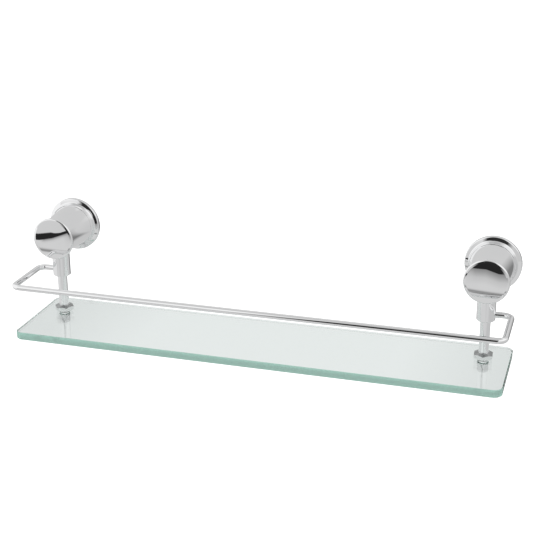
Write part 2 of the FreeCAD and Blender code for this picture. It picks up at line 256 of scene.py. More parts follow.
def drilled(mesh, drill, finish):
    """A mesh with the shape of a drill cut out of it."""
    blank = bpy.data.objects.new("blank", mesh)
    tool = bpy.data.objects.new("tool", drill)
    for thing in (blank, tool):
        bpy.context.scene.collection.objects.link(thing)
    cut = blank.modifiers.new("cut", "BOOLEAN")
    cut.operation = "DIFFERENCE"
    cut.solver = "EXACT"
    cut.object = tool
    stage = bpy.context.evaluated_depsgraph_get()
    result = bpy.data.meshes.new_from_object(blank.evaluated_get(stage), depsgraph=stage)
    for thing in (blank, tool):
        bpy.data.objects.remove(thing)
    result.materials.clear()
    result.materials.append(finish)
    result.set_sharp_from_angle(angle=sharp_angle)
    return result


def mount_piece(name, mesh, node):
    """Puts a finished mesh in the scene in place of a model node."""
    mesh.name = name
    piece = bpy.data.objects.new(name, mesh)
    bpy.context.scene.collection.objects.link(piece)
    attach(piece, "root")
    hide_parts(node)


def drill_rod(radius, length, at, along, finish):
    """Mesh of a plain drill bit, from a point along a direction."""
    return turned_mesh("drill", [(0, 0), (radius, 0), (radius, length), (0, length)], at, along, finish)


chrome = bright_chrome()
to_front = Vector((0, -1, 0))
upward = Vector((0, 0, 1))

for side in ("left", "right"):
    node = side + "_rosette"
    low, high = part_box(node)
    centre = Vector((middle_of(node).x, 0, 0))
    rim = (high[2] - low[2]) / 2
    front = -low[1]
    ledge = rim - rim_round - ledge_width
    recess = ledge - cove_radius - rosette_wall
    outline = [(recess, 0), (rim, 0)] + rounded_rim(rim)
    top_radius, top_depth = outline[-1]
    ledge_depth = top_depth + (top_radius - ledge) * math.tan(ledge_slope)
    outline += cove_and_flare(ledge, ledge_depth, front)
    outline += [(neck_thread_radius, front), (neck_thread_radius, plate_depth), (recess, plate_depth)]
    mesh = turned_mesh(node + "_turned", outline, centre, to_front, chrome)
    hole_at = centre + to_front * rim_depth / 2 - upward * (rim + rim_round)
    hole = drill_rod(grub_hole_radius, rim - recess + 3 * rim_round, hole_at, upward, chrome)
    mount_piece(node + "_turned", drilled(mesh, hole, chrome), node)


# Grub screws under the rosettes
# Small headless screws of plain steel with a hexagon key hole, one in the underside of each rosette.
# Their blackened finish is worn paler by the key, and they are driven in until the rosette is tight.
key_wear_size = 0.0008
key_wear_depth = 0.00005
key_wear_bump = 0.2
screw_tones = ((0.10, 0.10, 0.105), (0.34, 0.34, 0.35))
screw_roughness = (0.25, 0.5)


def blackened_steel():
    """Dark oiled steel, mottled and a little worn."""
    finish, tree, shader = new_finish("blackened_steel")
    wear = mottled(tree, key_wear_size, detail=6.0, Roughness=0.65)
    toned(tree, shader, wear, screw_tones, screw_roughness)
    embossed(tree, shader, wear, key_wear_bump, key_wear_depth)
    shader.inputs["Metallic"].default_value = 1.0
    return finish


screw_steel = blackened_steel()
refinish("plate_grub_screws", screw_steel)


# Necks
# Thick tubes of chromed brass that stand straight out from the wall, flared like a trumpet to its side.
# Each screws into its rosette by a threaded spigot at the back, and is hollow for the collar's screw.
neck_rear_radius = 0.0225
neck_taper = 0.0035
neck_waist = 0.0008
neck_spigot_radius = 0.016
neck_bore_radius = 0.0135
neck_steps = 24


def bow(start, middle, end, steps):
    """Points of an outline on the circle through three of its points, from the first to the last."""
    (ax, ay), (bx, by), (cx, cy) = start, middle, end
    turn = 2 * (ax * (by - cy) + bx * (cy - ay) + cx * (ay - by))
    a, b, c = ax * ax + ay * ay, bx * bx + by * by, cx * cx + cy * cy
    hub = Vector(((a * (by - cy) + b * (cy - ay) + c * (ay - by)) / turn,
                  (a * (cx - bx) + b * (ax - cx) + c * (bx - ax)) / turn))
    radius = (Vector(start) - hub).length
    first = math.atan2(ay - hub.y, ax - hub.x)
    sweep = math.atan2(cy - hub.y, cx - hub.x) - first
    if turn > 0:
        sweep %= 2 * math.pi
    else:
        sweep = -(-sweep % (2 * math.pi))
    points = []
    for step in range(steps + 1):
        angle = first + sweep * step / steps
        points.append((hub.x + radius * math.cos(angle), hub.y + radius * math.sin(angle)))
    return points


for side in ("left", "right"):
    node = side + "_neck"
    low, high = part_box(node)
    rear = -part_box(side + "_rosette")[0][1]
    front = -low[1]
    spigot_back = -high[1]
    centre = Vector((middle_of(node).x, 0, 0))
    front_radius = neck_rear_radius - neck_taper
    waist = ((neck_rear_radius + front_radius) / 2 - neck_waist, (rear + front) / 2)
    outline = [(neck_bore_radius, spigot_back), (neck_spigot_radius, spigot_back)]
    outline += [(neck_spigot_radius, rear)]
    outline += bow((neck_rear_radius, rear), waist, (front_radius, front), neck_steps)
    outline += [(neck_bore_radius, front)]
    mount_piece(node + "_turned", turned_mesh(node, outline, centre, to_front, chrome), node)


# Collars
# Short upright cylinders of chromed brass, cut at the top to a saddle that fits under the neck.
# A hidden screw pulls each one up against the neck, and it holds the rail's end and the rod's top.
collar_chamfer = 0.0009
saddle_rings = 8
grub_hole_gap = 0.00005


def neck_underside(across, out, rear, front):
    """Height of the neck's underside, across from the neck's middle and out from the wall."""
    # The waist is a parabola, deepest halfway along the neck.
    along = (out - rear) / (front - rear)
    around = neck_rear_radius - neck_taper * along - 4 * neck_waist * along * (1 - along)
    return -math.sqrt(around ** 2 - across ** 2)


def wall_between(shape, first, last, material=0):
    """Faces between two loops of the same number of points."""
    faces = []
    for step in range(len(first)):
        after = (step + 1) % len(first)
        face = shape.faces.new((first[step], first[after], last[after], last[step]))
        face.material_index = material
        faces.append(face)
    return faces


for side, sign in (("left", -1), ("right", 1)):
    node = side + "_collar"
    low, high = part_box(node)
    centre = middle_of(node)
    radius = (high[1] - low[1]) / 2
    neck_rear = -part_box(side + "_rosette")[0][1]
    neck_front = -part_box(side + "_neck")[0][1]
    shape = bmesh.new()
    levels = [(radius - collar_chamfer, low[2]), (radius, low[2] + collar_chamfer), (radius, None)]
    levels += [(radius * (1 - step / saddle_rings), None) for step in range(1, saddle_rings)]
    rings = []
    for ring_radius, height in levels:
        ring = []
        for step in range(turning_steps):
            angle = 2 * math.pi * step / turning_steps
            across = ring_radius * math.cos(angle)
            y = centre.y + ring_radius * math.sin(angle)
            z = neck_underside(across, -y, neck_rear, neck_front) if height is None else height
            ring.append(shape.verts.new((centre.x + across, y, z)))
        rings.append(ring)
    shape.faces.new(rings[0])
    for first, last in zip(rings, rings[1:]):
        wall_between(shape, first, last)
    crest_z = neck_underside(0, -centre.y, neck_rear, neck_front)
    crest = shape.verts.new((centre.x, centre.y, crest_z))
    for step in range(turning_steps):
        shape.faces.new((rings[-1][step], rings[-1][(step + 1) % turning_steps], crest))
    mesh = finish_mesh(shape, node, chrome)
    grub_low, grub_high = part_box("rail_grub_screws")
    grub_x = (grub_high[0] if sign > 0 else grub_low[0]) - sign * (grub_hole_radius - grub_hole_gap)
    hole_at = Vector((grub_x, centre.y, low[2] - collar_chamfer))
    hole = drill_rod(grub_hole_radius, grub_high[2] - hole_at.z, hole_at, upward, chrome)
    mount_piece(node + "_cut", drilled(mesh, hole, chrome), node)


# Screws inside the necks
# Socket-head screws of dark steel that go down through the neck's wall into the collar.
# They are tightened through the open front of the neck before the cap goes on.
refinish("collar_screws", screw_steel)


# Front caps
# Slightly domed discs of chromed brass with a bevelled rim, wider than the neck that they close.
# Each is turned in one piece with a hollow threaded spigot, and screws into the front of the neck.
cap_edge_round = 0.0016
cap_rim_thickness = 0.004
cap_bevel_width = 0.001
cap_bevel_rise = 0.0002
cap_spigot_radius = 0.01345
cap_bore_radius = 0.009
crown_steps = 40
cap_edge_steps = 8


def quarter(start, corner, end, steps):
    """Points of an outline that rounds a square corner with a quarter circle."""
    hub = Vector(start) + Vector(end) - Vector(corner)
    swing = math.pi / 2 / steps
    points = []
    for step in range(steps + 1):
        away = (Vector(start) - hub) * math.cos(swing * step) + (Vector(end) - hub) * math.sin(swing * step)
        points.append(tuple(hub + away))
    return points


for side in ("left", "right"):
    node = side + "_front_cap"
    low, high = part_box(node)
    centre = Vector((middle_of(node).x, 0, 0))
    rim = (high[2] - low[2]) / 2
    tip = -low[1]
    spigot_back = -high[1]
    back = -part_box(side + "_neck")[0][1]
    front = back + cap_rim_thickness
    bevel = (rim - cap_edge_round - cap_bevel_width, front + cap_bevel_rise)
    crown_rise = tip - bevel[1]
    crown_radius = (bevel[0] ** 2 + crown_rise ** 2) / (2 * crown_rise)
    outline = [(0, back), (cap_bore_radius, back), (cap_bore_radius, spigot_back)]
    outline += [(cap_spigot_radius, spigot_back), (cap_spigot_radius, back)]
    inner = rim - cap_edge_round
    outline += quarter((inner, back), (rim, back), (rim, back + cap_edge_round), cap_edge_steps)
    outline += quarter((rim, front - cap_edge_round), (rim, front), (inner, front), cap_edge_steps)
    for step in range(crown_steps):
        out = bevel[0] * (1 - step / crown_steps)
        outline.append((out, tip - crown_radius + math.sqrt(crown_radius ** 2 - out ** 2)))
    outline.append((0, tip))
    mount_piece(node + "_turned", turned_mesh(node, outline, centre, to_front, chrome), node)


# Hanger rods
# Straight rods of chromed brass that carry the glass, one below each collar.
# A thinner threaded spigot screws up into the collar, and a threaded stud goes down through the glass.
stud_radius = 0.003
rod_chamfer = 0.0004

for side in ("left", "right"):
    node = side + "_hanger_rod"
    low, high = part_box(node)
    middle = middle_of(node)
    radius = (high[0] - low[0]) / 2
    centre = Vector((middle.x, middle.y, 0))
    top = high[2]
    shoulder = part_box(side + "_collar")[0][2]
    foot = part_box("upper_washers")[1][2]
    outline = [(0, top), (stud_radius - rod_chamfer, top), (stud_radius, top - rod_chamfer)]
    outline += [(stud_radius, shoulder), (radius, shoulder), (radius, foot), (stud_radius, foot)]
    outline += [(stud_radius, low[2] + rod_chamfer), (stud_radius - rod_chamfer, low[2]), (0, low[2])]
    mount_piece(node + "_turned", turned_mesh(node, outline, centre, upward, chrome), node)


# Gallery rail
# One polished rod, bent four times, that runs from collar to collar round the front of the shelf.
# It is bent from round brass bar, chrome plated, and pushed into the outer sides of the collars.
rail_bend_radius = 0.0075
rail_end_inset = 0.0208
rail_bend_steps = 24
rail_round_steps = 48


def new_tree(name, inputs, result):
    """A geometry tree with inputs of the named kinds and one result, and the sockets that its inputs feed."""
    tree = bpy.data.node_groups.new(name, "GeometryNodeTree")
    for socket, kind in inputs.items():
        tree.interface.new_socket(socket, in_out="INPUT", socket_type="NodeSocket" + kind)
    tree.interface.new_socket(result, in_out="OUTPUT", socket_type="NodeSocketGeometry")
    return tree, place_node(tree, "NodeGroupInput").outputs


def bent_rod_tree():
    """Geometry tree that rounds the corners of a path and sweeps a round rod along it."""
    inputs = {
        "Path": "Geometry",
        "Rod Radius": "Float",
        "Bend Radius": "Float",
        "Bend Steps": "Int",
        "Round Steps": "Int",
        "Finish": "Material",
    }
    tree, sizes = new_tree("bent_rod", inputs, "Rod")
    path = place_node(tree, "GeometryNodeMeshToCurve", {"Mesh": sizes["Path"]})
    bent = place_node(
        tree, "GeometryNodeFilletCurve",
        {"Curve": path.outputs["Curve"], "Radius": sizes["Bend Radius"], "Count": sizes["Bend Steps"]},
        mode="POLY")
    section = place_node(
        tree, "GeometryNodeCurvePrimitiveCircle",
        {"Resolution": sizes["Round Steps"], "Radius": sizes["Rod Radius"]})
    rod = place_node(
        tree, "GeometryNodeCurveToMesh",
        {"Curve": bent.outputs["Curve"], "Profile Curve": section.outputs["Curve"], "Fill Caps": True})
    whole = place_node(tree, "GeometryNodeRealizeInstances", {"Geometry": rod.outputs["Mesh"]})
    finished = place_node(
        tree, "GeometryNodeSetMaterial",
        {"Geometry": whole.outputs["Geometry"], "Material": sizes["Finish"]})
    place_node(tree, "NodeGroupOutput", {"Rod": finished.outputs["Geometry"]})
    return tree


def grown_mesh(name, seed, tree, inputs):
    """The plain smooth mesh that a geometry tree makes from a first mesh and its named inputs."""
    maker = bpy.data.objects.new(name, seed)
    bpy.context.scene.collection.objects.link(maker)
    grow = maker.modifiers.new("grow", "NODES")
    grow.node_group = tree
    for socket in tree.interface.items_tree:
        if socket.name in inputs:
            grow[socket.identifier] = inputs[socket.name]
    stage = bpy.context.evaluated_depsgraph_get()
    mesh = bpy.data.meshes.new_from_object(maker.evaluated_get(stage), depsgraph=stage)
    bpy.data.objects.remove(maker)
    mesh.shade_smooth()
    mesh.set_sharp_from_angle(angle=sharp_angle)
    return mesh


low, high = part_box("gallery_rail")
rail_radius = (high[2] - low[2]) / 2
rail_z = middle_of("gallery_rail").z
rail_arm_x = high[0] - rail_radius
rail_front_y = low[1] + rail_radius
rail_back_y = high[1] - rail_radius
rail_end_x = rail_arm_x - rail_end_inset
corners = []
for x, y in ((rail_end_x, rail_back_y), (rail_arm_x, rail_back_y), (rail_arm_x, rail_front_y)):
    corners.append((x, y, rail_z))
corners += [(-x, y, z) for x, y, z in reversed(corners)]
rail_path = bpy.data.meshes.new("rail_path")
rail_path.from_pydata(corners, [(step, step + 1) for step in range(len(corners) - 1)], [])
rail_inputs = {
    "Rod Radius": rail_radius,
    "Bend Radius": rail_bend_radius,
    "Bend Steps": rail_bend_steps,
    "Round Steps": rail_round_steps,
    "Finish": chrome,
}
rail_mesh = grown_mesh("rail_bar", rail_path, bent_rod_tree(), rail_inputs)
mount_piece("gallery_rail_bent", rail_mesh, "gallery_rail")


# Grub screws under the collars
# The same headless screws as under the rosettes, one in the underside of each collar.
# Their tips press on the ends of the rail.
refinish("rail_grub_screws", screw_steel)


# Glass shelf
# One plate of clear toughened float glass with rounded corners, clamped to the rods at two drilled holes.
# Its back and ends are polished. Its front edge is finely ground to a milky green, as are the holes' rims.
glass_corner_radius = 0.009
glass_arris = 0.0007
glass_hole_radius = 0.0044
hole_arris = 0.0003
corner_steps = 16
hole_steps = 64
glass_index = 1.52
glass_tint = (0.36, 0.75, 0.65)
tint_density = 12.0
smear_size = 0.05
smear_roughness = (0.0, 0.012)
grain_size = 0.00025
grain_depth = 0.00002
grain_bump = 0.15
grain_roughness = (0.22, 0.32)
ground_colour = (0.60, 0.90, 0.80)
ground_clearness = 0.45


def new_glass(name, colour, clearness):
    """Float glass of a surface colour and clearness, green through its depth."""
    finish, tree, shader = new_finish(name)
    shader.inputs["Base Color"].default_value = (*colour, 1)
    shader.inputs["IOR"].default_value = glass_index
    shader.inputs["Transmission Weight"].default_value = clearness
    tint = place_node(
        tree, "ShaderNodeVolumeAbsorption", {"Color": (*glass_tint, 1), "Density": tint_density})
    tree.links.new(tint.outputs["Volume"], tree.nodes["Material Output"].inputs["Volume"])
    return finish, tree, shader


def clear_glass():
    """Clear glass, with the faintest smear of handling on its faces."""
    finish, tree, shader = new_glass("clear_glass", (1, 1, 1), 1.0)
    smears = mottled(tree, smear_size, detail=6.0, Distortion=0.6)
    tree.links.new(between(tree, smears, *smear_roughness), shader.inputs["Roughness"])
    return finish


def ground_glass():
    """Glass that is milky from the grinding wheel."""
    finish, tree, shader = new_glass("ground_glass", ground_colour, ground_clearness)
    grains = mottled(tree, grain_size, detail=3.0)
    tree.links.new(between(tree, grains, *grain_roughness), shader.inputs["Roughness"])
    embossed(tree, shader, grains, grain_bump, grain_depth)
    return finish


def plate_loop(shape, low, high, inset, z):
    """Corner points of the rounded plate, drawn in by an inset, at one height."""
    radius = glass_corner_radius
    loop = []
    for quadrant, (x_end, y_end) in enumerate(((high, high), (low, high), (low, low), (high, low))):
        x_way = -1 if x_end is high else 1
        y_way = -1 if y_end is high else 1
        for step in range(corner_steps + 1):
            angle = math.pi / 2 * (quadrant + step / corner_steps)
            x = x_end[0] + x_way * radius + (radius - inset) * math.cos(angle)
            y = y_end[1] + y_way * radius + (radius - inset) * math.sin(angle)
            loop.append(shape.verts.new((x, y, z)))
    return loop


def round_loop(shape, centre, radius, z):
    """Points of a hole's circle at one height."""
    loop = []
    for step in range(hole_steps):
        angle = 2 * math.pi * step / hole_steps
        x = centre.x + radius * math.cos(angle)
        y = centre.y + radius * math.sin(angle)
        loop.append(shape.verts.new((x, y, z)))
    return loop


low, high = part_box("glass_shelf")
shape = bmesh.new()
heights = (low[2], low[2] + glass_arris, high[2] - glass_arris, high[2])
outer = [plate_loop(shape, low, high, glass_arris if z in (low[2], high[2]) else 0, z) for z in heights]
polished, ground = 0, 1
front_edge = low[1] + glass_corner_radius + glass_arris
for first, last in zip(outer, outer[1:]):
    for face in wall_between(shape, first, last, polished):
        if face.calc_center_median().y < front_edge:
            face.material_index = ground
bottom_loops = [outer[0]]
top_loops = [outer[-1]]
for side in ("left", "right"):
    centre = middle_of(side + "_hanger_rod")
    wide = glass_hole_radius + hole_arris
    levels = ((wide, low[2]), (glass_hole_radius, low[2] + hole_arris))
    levels += ((glass_hole_radius, high[2] - hole_arris), (wide, high[2]))
    hole = [round_loop(shape, centre, radius, z) for radius, z in levels]
    for first, last, material in zip(hole, hole[1:], (ground, polished, ground)):
        wall_between(shape, first, last, material)
    bottom_loops.append(hole[0])
    top_loops.append(hole[-1])
for loops in (bottom_loops, top_loops):
    edges = []
    for loop in loops:
        for step in range(len(loop)):
            edges.append(shape.edges.get((loop[step], loop[(step + 1) % len(loop)])))
    bmesh.ops.triangle_fill(shape, edges=edges, use_beauty=True)
glass_mesh = finish_mesh(shape, "glass_shelf_ground", clear_glass())
glass_mesh.materials.append(ground_glass())
mount_piece("glass_shelf_ground", glass_mesh, "glass_shelf")


# Hexagon nuts
# Chromed brass nuts that stand on the glass round each rod, both ends turned to a shallow cone that is
# coloured dark as painted shade.
# They clamp the glass from above, and each stopped at its own angle when it was tightened.
nut_across_flats = 0.018
nut_end_inset = 0.0028
nut_chamfer_angle = math.radians(30)
nut_bore_radius = 0.00505
nut_countersink = 0.0005
left_nut_turn = math.radians(7)
right_nut_turn = math.radians(34)
nut_steps = 144
nut_end_walls = (1, 2, 4, 5)
tool_mark_size = 0.0006
flat_tones = ((0.84, 0.85, 0.85), (0.94, 0.95, 0.95))
# The cones' dark tones are painted shade, for the dark that they mirror; the flats keep a pale chrome tone.
cone_painted_shade_tones = ((0.30, 0.31, 0.31), (0.44, 0.45, 0.45))
nut_roughness = (0.18, 0.32)


def dull_chrome(name, tones):
    """Plated metal that was not polished first, duller than the posts."""
    finish, tree, shader = new_finish(name)
    toned(tree, shader, mottled(tree, tool_mark_size, detail=4.0), tones, nut_roughness)
    shader.inputs["Metallic"].default_value = 1.0
    return finish


def pair_tree():
    """Geometry tree that sets a fitting on each of the two rods, each at its own turn."""
    inputs = {
        "Fitting": "Geometry",
        "Left Rod": "Vector",
        "Rod Spacing": "Vector",
        "Left Turn": "Float",
        "Turn Difference": "Float",
        "Finish": "Material",
        "Painted Shade Finish": "Material",
    }
    tree, sizes = new_tree("fitting_on_each_rod", inputs, "Pair")
    rods = place_node(
        tree, "GeometryNodeMeshLine",
        {"Count": 2, "Start Location": sizes["Left Rod"], "Offset": sizes["Rod Spacing"]}, mode="OFFSET")
    which = place_node(tree, "GeometryNodeInputIndex")
    turn = place_node(
        tree, "ShaderNodeMath",
        {0: which.outputs["Index"], 1: sizes["Turn Difference"], 2: sizes["Left Turn"]},
        operation="MULTIPLY_ADD")
    about_z = place_node(tree, "ShaderNodeCombineXYZ", {"Z": turn.outputs["Value"]})
    turned = place_node(tree, "FunctionNodeEulerToRotation", {"Euler": about_z.outputs["Vector"]})
    fitted = place_node(
        tree, "GeometryNodeInstanceOnPoints",
        {"Points": rods.outputs["Mesh"], "Instance": sizes["Fitting"],
         "Rotation": turned.outputs["Rotation"]})
    whole = place_node(tree, "GeometryNodeRealizeInstances", {"Geometry": fitted.outputs["Instances"]})
    finished = place_node(
        tree, "GeometryNodeSetMaterial",
        {"Geometry": whole.outputs["Geometry"], "Material": sizes["Finish"]})
    # Faces marked as nut ends take the second finish, whose dark tone is painted shade.
    painted_shade_end = place_node(
        tree, "GeometryNodeInputNamedAttribute", {"Name": "painted_shade_end"}, data_type="BOOLEAN")
    finished = place_node(
        tree, "GeometryNodeSetMaterial",
        {"Geometry": finished.outputs["Geometry"], "Selection": painted_shade_end.outputs["Attribute"],
         "Material": sizes["Painted Shade Finish"]})
    place_node(tree, "NodeGroupOutput", {"Pair": finished.outputs["Geometry"]})
    return tree


def hexagon_nut(height):
    """Mesh of one nut with its foot at the origin: six flats, coned ends and a countersunk bore."""
    # Each column runs up the outside from the lower countersink, so walls 1, 2, 4 and 5 are its ends.
    flat = nut_across_flats / 2
    end = flat - nut_end_inset
    cone = math.tan(nut_chamfer_angle)
    sunk = nut_bore_radius + nut_countersink
    shape = bmesh.new()
    columns = []
    for step in range(nut_steps):
        angle = 2 * math.pi * step / nut_steps
        from_flat = (angle % (math.pi / 3)) - math.pi / 6
        reach = flat / math.cos(from_flat)
        drop = (reach - end) * cone
        levels = ((nut_bore_radius, nut_countersink), (sunk, 0), (end, 0), (reach, drop))
        levels += tuple((radius, height - z) for radius, z in reversed(levels))
        column = []
        for radius, z in levels:
            column.append(shape.verts.new((radius * math.cos(angle), radius * math.sin(angle), z)))
        columns.append(column)
    rings = list(zip(*columns))
    # The coned ends are marked, so that they take the finish of painted shade.
    painted_shade_end = shape.faces.layers.int.new("painted_shade_end")
    for place, (first, last) in enumerate(zip(rings, rings[1:] + rings[:1])):
        for face in wall_between(shape, first, last):
            face[painted_shade_end] = place in nut_end_walls
    return finish_mesh(shape, "hexagon_nut", chrome)


fitting_pair = pair_tree()
left_rod = middle_of("left_hanger_rod")
rod_spacing = middle_of("right_hanger_rod").x - left_rod.x


def pair_of(name, fitting, z, finish, painted_shade_finish, left_turn=0.0, right_turn=0.0):
    """Plain mesh of a fitting set on both rods at a height."""
    inputs = {
        "Left Rod": (left_rod.x, left_rod.y, z),
        "Rod Spacing": (rod_spacing, 0.0, 0.0),
        "Left Turn": left_turn,
        "Turn Difference": right_turn - left_turn,
        "Finish": finish,
        "Painted Shade Finish": painted_shade_finish,
    }
    return grown_mesh(name, fitting, fitting_pair, inputs)


low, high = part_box("hex_nuts")
nut = hexagon_nut(high[2] - low[2])
flats = dull_chrome("plated_nut_flats", flat_tones)
# The ends get a dark tone of painted shade, the flats a pale one.
cones = dull_chrome("nut_ends_painted_shade", cone_painted_shade_tones)
nuts = pair_of("hex_nuts_faced", nut, low[2], flats, cones, left_nut_turn, right_nut_turn)
mount_piece("hex_nuts_faced", nuts, "hex_nuts")


# Washers and sleeves
# Thin rings above and below the glass and a tube in each hole, moulded in a soft milky plastic.
# They keep the metal off the glass, and are only held by the nuts.
washer_gap = 0.00002
washer_round = 0.00015
washer_bore_radius = 0.00315
washer_round_steps = 4
haze_size = 1 / 700
milky_tones = ((0.74, 0.76, 0.75), (0.86, 0.87, 0.86))
milky_roughness = (0.35, 0.55)
milky_clearness = 0.35
plastic_index = 1.49


def milky_plastic():
    """Soft translucent plastic, slightly cloudy."""
    finish, tree, shader = new_finish("milky_plastic")
    toned(tree, shader, mottled(tree, haze_size, detail=4.0), milky_tones, milky_roughness)
    shader.inputs["Transmission Weight"].default_value = milky_clearness
    shader.inputs["IOR"].default_value = plastic_index
    return finish


milky = milky_plastic()
refinish("hole_sleeves", milky)
for node in ("upper_washers", "lower_washers"):
    low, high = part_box(node)
    radius = (high[1] - low[1]) / 2
    foot, top = low[2] + washer_gap, high[2] - washer_gap
    inner = radius - washer_round
    outline = [(washer_bore_radius, foot)]
    outline += quarter((inner, foot), (radius, foot), (radius, foot + washer_round), washer_round_steps)
    outline += quarter((radius, top - washer_round), (radius, top), (inner, top), washer_round_steps)
    outline += [(washer_bore_radius, top)]
    washer = turned_mesh(node, outline, Vector((0, 0, 0)), upward, milky)
    mount_piece(node + "_moulded", pair_of(node, washer, 0.0, milky, milky), node)


# Cap nuts
# Round blind nuts of chromed brass on the studs under the glass, with a softly rounded lower edge.
# They are tightened by hand against the lower washers.
cap_nut_round = 0.0012
cap_nut_round_steps = 10
cap_nut_bore_radius = 0.00305

low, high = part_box("cap_nuts")
radius = (high[1] - low[1]) / 2
stud_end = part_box("left_hanger_rod")[0][2]
foot, top = low[2], high[2]
inner = radius - cap_nut_round
outline = [(0, stud_end), (cap_nut_bore_radius, stud_end), (cap_nut_bore_radius, top), (radius, top)]
outline += quarter((radius, foot + cap_nut_round), (radius, foot), (inner, foot), cap_nut_round_steps)
outline += [(0, foot)]
cap_nut = turned_mesh("cap_nut", outline, Vector((0, 0, 0)), upward, chrome)
mount_piece("cap_nuts_turned", pair_of("cap_nuts", cap_nut, 0.0, chrome, chrome), "cap_nuts")


# Floor
# A plain pale floor well below the shelf, which keeps its soft shadow.
# It is white to the camera. Through glass its glow is lowered by place, as painted shade: a little, more so
# outside a painted pool of light, and most so near the shelf where chrome mirrors the glass.
floor_drop = 0.5
floor_half = 8.0
floor_grain = 1 / 3
floor_tones = ((0.86, 0.86, 0.86), (0.88, 0.88, 0.88))
floor_glow = 0.6
floor_through_glass = 0.86
painted_shade_beside_pool = 0.74
painted_pool_middle = -0.31
painted_pool_half = 0.27
painted_pool_fade = 0.20
painted_shade_below_shelf = 0.64
shade_near = 0.75
shade_far = 1.0


def worked_out(tree, operation, *values):
    """The result of one sum on values of a tree."""
    return place_node(tree, "ShaderNodeMath", dict(enumerate(values)), operation=operation).outputs["Value"]


def share(tree, value, low, high):
    """How far a value is on its way from low to high, from 0 to 1."""
    part = place_node(tree, "ShaderNodeMapRange", {"Value": value, "From Min": low, "From Max": high})
    return part.outputs["Result"]


def pale_floor():
    """White floor that glows just enough to the camera to read as white, and still takes a shadow."""
    finish, tree, shader = new_finish("pale_floor")
    tree.nodes.remove(shader)
    way = place_node(tree, "ShaderNodeLightPath").outputs
    place = place_node(tree, "ShaderNodeTexCoord").outputs["Object"]
    parts = place_node(tree, "ShaderNodeSeparateXYZ", {"Vector": place}).outputs
    tone = two_tone(tree, mottled(tree, floor_grain, detail=2.0), *floor_tones)
    matt = place_node(tree, "ShaderNodeBsdfDiffuse", {"Color": tone})
    seen = worked_out(tree, "MULTIPLY", way["Is Camera Ray"], floor_glow)
    glow = place_node(tree, "ShaderNodeEmission", {"Strength": seen})
    lit = place_node(tree, "ShaderNodeAddShader", {0: matt.outputs["BSDF"], 1: glow.outputs["Emission"]})
    # Seen through glass, the glow is painted shade and a painted pool of light, set by the floor's place.
    off_painted_pool = worked_out(tree, "ABSOLUTE", worked_out(tree, "SUBTRACT", parts["X"], painted_pool_middle))
    beside = share(tree, off_painted_pool, painted_pool_half, painted_pool_half + painted_pool_fade)
    level = between(tree, beside, floor_through_glass, painted_shade_beside_pool)
    off_middle = worked_out(tree, "ABSOLUTE", parts["Y"])
    mirrored = worked_out(tree, "GREATER_THAN", way["Glossy Depth"], 0.5)
    shaded = worked_out(tree, "MULTIPLY", mirrored, share(tree, off_middle, shade_far, shade_near))
    strength = between(tree, shaded, level, painted_shade_below_shelf)
    through = place_node(tree, "ShaderNodeEmission", {"Strength": strength})
    both = place_node(
        tree, "ShaderNodeMixShader",
        {0: way["Is Transmission Ray"], 1: lit.outputs["Shader"], 2: through.outputs["Emission"]})
    tree.links.new(both.outputs["Shader"], tree.nodes["Material Output"].inputs["Surface"])
    return finish


floor_z = cad_box[0][2] - floor_drop
floor_mesh = bpy.data.meshes.new("floor")
floor_corners = [(x * floor_half, y * floor_half, floor_z) for x, y in ((-1, -1), (1, -1), (1, 1), (-1, 1))]
floor_mesh.from_pydata(floor_corners, [], [(0, 1, 2, 3)])
floor_mesh.materials.append(pale_floor())
floor = bpy.data.objects.new("floor", floor_mesh)
bpy.context.scene.collection.objects.link(floor)
floor.visible_glossy = False


# Studio light
# A pale room with one large soft lamp overhead. What the chrome mirrors is painted by direction: a pale
# table below, a white panel in front on the left, a dark room in front on the right, and grey behind.
room_level = 0.75
lamp_place = (-0.2, -0.3, 1.4)
lamp_size = 1.6
lamp_power = 9.0
mirror_bounces = 24
most_bounces = 32

# Directions are in degrees. A swing starts straight in front and grows to the right. A rise is from level.
# The table reaches up to an edge whose rise changes with the swing.
lowest_edge_rise = -30.0
table_edge_rises = (
    (-60, -22.2), (-43, -21.9), (-41, -19.59), (-36, -19.44), (-27, -17.64), (-21, -15.6),
    (-14, -13.05), (-6, -12.9), (1, -15.0), (12, -15.0), (40, -12.0))
table_edge_fade = (-0.3, 0.0)

# The table is grey, with one dark line across its middle and some shade below its edge.
table_grey = 0.68
line_greys = ((-90, 0.64), (-28.2, 0.69), (-27.4, 0.3), (-26.6, 0.3), (-25.8, 0.69), (0, 0.69))
line_lean = 0.06
line_middle = -14.0
line_fade = (24, 32)
left_shade_greys = ((-2.4, 1.0), (-1.2, 0.85), (0, 0.3))
left_shade_fade = (-36, -33)
right_shade_greys = ((-9, 1.0), (-5, 0.86), (-1.5, 0.5), (0, 0.38))
right_shade_fade = (8, 20)
shade_change = (-20, -12)
table_round_greys = ((-70, 1.0), (25, 1.0), (50, 0.86), (110, 0.86), (140, 0.95))

# In front, from left to right: a wall, a white panel above a dark gap, a dark room, and another wall.
left_wall_greys = ((0, 0.7), (6, 1.0), (72, 1.0), (86, 0.62))
left_wall_edge = (-41, -40)
panel_greys = ((0, 0.66), (16, 0.68), (30, 1.0), (58, 1.0), (74, 0.6))
gap_grey = 0.02
gap_shares = ((-36, 0.33), (-27, 0.36), (-21, 0.8))
gap_end = (1.0, 1.2)
dark_room_greys = ((0, 0.02), (48, 0.04), (60, 0.55))
dark_room_edge = (-18, -13)
right_wall_greys = ((-20, 0.6), (8, 0.65), (20, 1.0), (52, 1.0), (64, 0.62))
right_wall_lean = -0.3
right_wall_edge = (7, 14)

